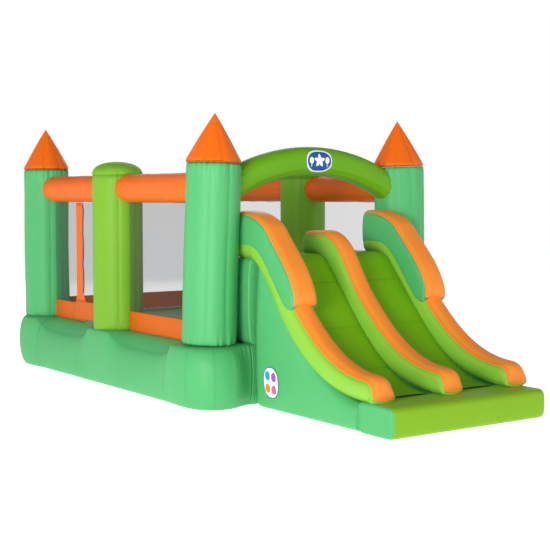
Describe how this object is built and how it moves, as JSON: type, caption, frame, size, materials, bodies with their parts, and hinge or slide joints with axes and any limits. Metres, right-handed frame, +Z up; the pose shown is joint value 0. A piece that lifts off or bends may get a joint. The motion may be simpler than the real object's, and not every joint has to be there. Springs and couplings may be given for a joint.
{
  "type": "inflatable bounce house",
  "caption": "Blow-up castle with a netted jumping room, round towers with cone tops, an arch and a side-by-side slide, kept inflated by an electric blower.",
  "frame": {"origin": "middle of the bounding box's underside, on the ground", "axes": "+Z up, the slides face -Y, the entrance flap is on the -X side and the blower behind the +Y side"},
  "size_m": [2.4, 5.525, 2.2],
  "materials": {
    "green_cloth": "satin",
    "floor_cloth": "satin",
    "orange_cloth": "satin",
    "lime_cloth": "satin",
    "slide_cloth": "satin",
    "net": "matte",
    "step_cloth": "satin",
    "webbing": "matte",
    "brass_grommet": "polished",
    "badge_print": "satin",
    "blower_shell": "satin",
    "black_plastic": "satin",
    "steel": "satin",
    "motor_paint": "satin",
    "switch_plastic": "gloss"
  },
  "bodies": {
    "bounce_house": {"base_left": "green_cloth", "base_right": "green_cloth", "base_back": "green_cloth", "base_front": "green_cloth", "drum_front_left": "green_cloth", "drum_front_right": "green_cloth", "drum_back_left": "green_cloth", "drum_back_right": "green_cloth", "bounce_floor": "floor_cloth", "floor_baffles": "floor_cloth", "tower_front_left": "green_cloth", "tower_front_right": "green_cloth", "tower_back_left": "green_cloth", "tower_back_right": "green_cloth", "cone_front_left": "orange_cloth", "cone_front_right": "orange_cloth", "cone_back_left": "orange_cloth", "cone_back_right": "orange_cloth", "pillar_left": "lime_cloth", "pillar_right": "lime_cloth", "beams_left": "orange_cloth", "beams_right": "orange_cloth", "beam_back": "orange_cloth", "arch": "lime_cloth", "nets_left": "net", "nets_right": "net", "net_back": "net", "kicks_left": "orange_cloth", "kicks_right": "orange_cloth", "kick_back": "orange_cloth", "slide_body": "slide_cloth", "slide_landing": "slide_cloth", "climb_block": "slide_cloth", "climb_steps": "step_cloth", "rail_left": "lime_cloth", "rail_right": "lime_cloth", "divider": "lime_cloth", "wing_left": "green_cloth", "wing_right": "green_cloth", "trim_left": "orange_cloth", "trim_right": "orange_cloth", "trim_divider": "orange_cloth", "anchor_tabs": "webbing", "anchor_grommets": "brass_grommet", "badges": "badge_print", "air_sleeve": "green_cloth", "sleeve_strap": "webbing", "deflation_port": "black_plastic", "blower_housing": "blower_shell", "blower_feet": "black_plastic", "intake_grille": "black_plastic", "grille_screws": "steel", "motor": "motor_paint", "blower_handle": "black_plastic"},
    "entrance_flap": {"flap_net": "net", "flap_band": "orange_cloth"},
    "port_cap": {"deflation_cap": "black_plastic"},
    "fan": {"impeller": "black_plastic", "motor_shaft": "steel"},
    "power_switch": {"rocker_switch": "switch_plastic"}
  },
  "joints": [
    {"name": "flap_hinge", "type": "hinge", "parent": "bounce_house", "child": "entrance_flap", "pos_m": [-0.987, 0.7165, 1], "axis": [0, 0, 1], "range_deg": [0, 90]},
    {"name": "cap_hinge", "type": "hinge", "parent": "bounce_house", "child": "port_cap", "pos_m": [-0.52, 2.1371, 0.292], "axis": [1, 0, 0], "range_deg": [0, 105]},
    {"name": "fan_spin", "type": "hinge", "parent": "bounce_house", "child": "fan", "pos_m": [0.44, 2.5975, 0.195], "axis": [1, 0, 0], "continuous": true},
    {"name": "switch_rock", "type": "hinge", "parent": "bounce_house", "child": "power_switch", "pos_m": [0.42, 2.5975, 0.356], "axis": [1, 0, 0], "range_deg": [0, 16]}
  ]
}
